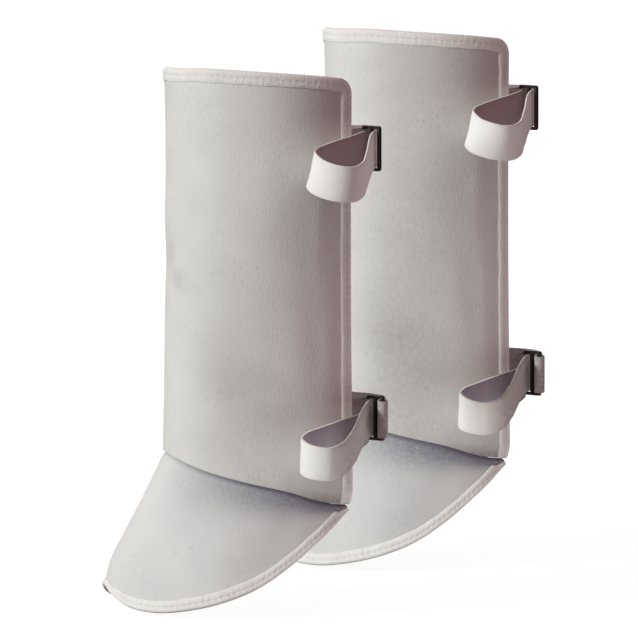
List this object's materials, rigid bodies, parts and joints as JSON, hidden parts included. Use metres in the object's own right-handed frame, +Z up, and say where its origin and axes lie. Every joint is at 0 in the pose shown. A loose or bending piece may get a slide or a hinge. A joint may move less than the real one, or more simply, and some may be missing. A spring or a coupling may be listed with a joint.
{
  "type": "pair of welding shoe covers",
  "caption": "Pair of white split-leather welding spats, worn shape: open-backed shin panels with flared foot flaps, folded bindings, and leather straps with black slide buckles.",
  "frame": {"origin": "the middle of the near cover's ankle, in the hollow where the wearer's leg holds it", "axes": "+Z up the leg, -Y towards the toes, +X towards the side with the buckles"},
  "size_m": [0.442, 0.3782, 0.407],
  "materials": {
    "split_leather": "white chrome split leather, soft short nap",
    "leather_binding": "thin white leather strip, matte, line-stitched",
    "leather_strap": "white split-leather strap, matte, grey on its inner side",
    "black_buckle": "black, slightly glossy"
  },
  "bodies": {
    "root": {"near_shin_panel": "split_leather", "near_foot_flap": "split_leather", "near_shin_binding": "leather_binding", "near_flap_binding": "leather_binding", "near_upper_strap": "leather_strap", "near_lower_strap": "leather_strap", "near_upper_tab": "leather_strap", "near_lower_tab": "leather_strap", "near_upper_buckle": "black_buckle", "near_lower_buckle": "black_buckle", "far_shin_panel": "split_leather", "far_foot_flap": "split_leather", "far_shin_binding": "leather_binding", "far_flap_binding": "leather_binding", "far_upper_strap": "leather_strap", "far_lower_strap": "leather_strap", "far_upper_tab": "leather_strap", "far_lower_tab": "leather_strap", "far_upper_buckle": "black_buckle", "far_lower_buckle": "black_buckle"}
  },
  "joints": []
}
